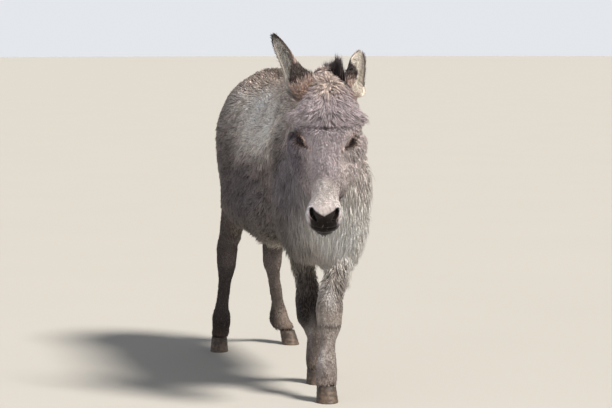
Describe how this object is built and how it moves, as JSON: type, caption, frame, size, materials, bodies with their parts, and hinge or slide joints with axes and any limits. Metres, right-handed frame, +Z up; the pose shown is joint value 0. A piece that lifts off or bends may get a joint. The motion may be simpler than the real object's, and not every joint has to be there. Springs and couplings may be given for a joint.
{
  "type": "donkey",
  "caption": "Life-size donkey in a thick grey winter coat, standing in mid-step on four hooves with its head turned slightly to its right.",
  "frame": {"origin": "on the floor, under the middle of the whole animal", "axes": "+Z up, -Y the way the animal faces, +X to its left"},
  "size_m": [0.4698, 1.6808, 1.2867],
  "materials": {
    "coat": "long, matt winter hair, grey with pale tips",
    "dark_hair": "coarse, matt dark brown hair",
    "horn": "dull hoof horn with dried mud",
    "eye": "wet and glossy"
  },
  "bodies": {
    "root": {"head": "coat", "neck": "coat", "trunk": "coat", "tail": "dark_hair", "mane": "dark_hair", "ear_left": "coat", "ear_right": "coat", "eye_left": "eye", "eye_right": "eye", "foreleg_left_upper": "coat", "foreleg_left_lower": "coat", "foreleg_right_upper": "coat", "foreleg_right_lower": "coat", "hindleg_left_upper": "coat", "hindleg_left_lower": "coat", "hindleg_right_upper": "coat", "hindleg_right_lower": "coat", "fore_hoof_left": "horn", "fore_hoof_right": "horn", "hind_hoof_left": "horn", "hind_hoof_right": "horn"}
  },
  "joints": []
}
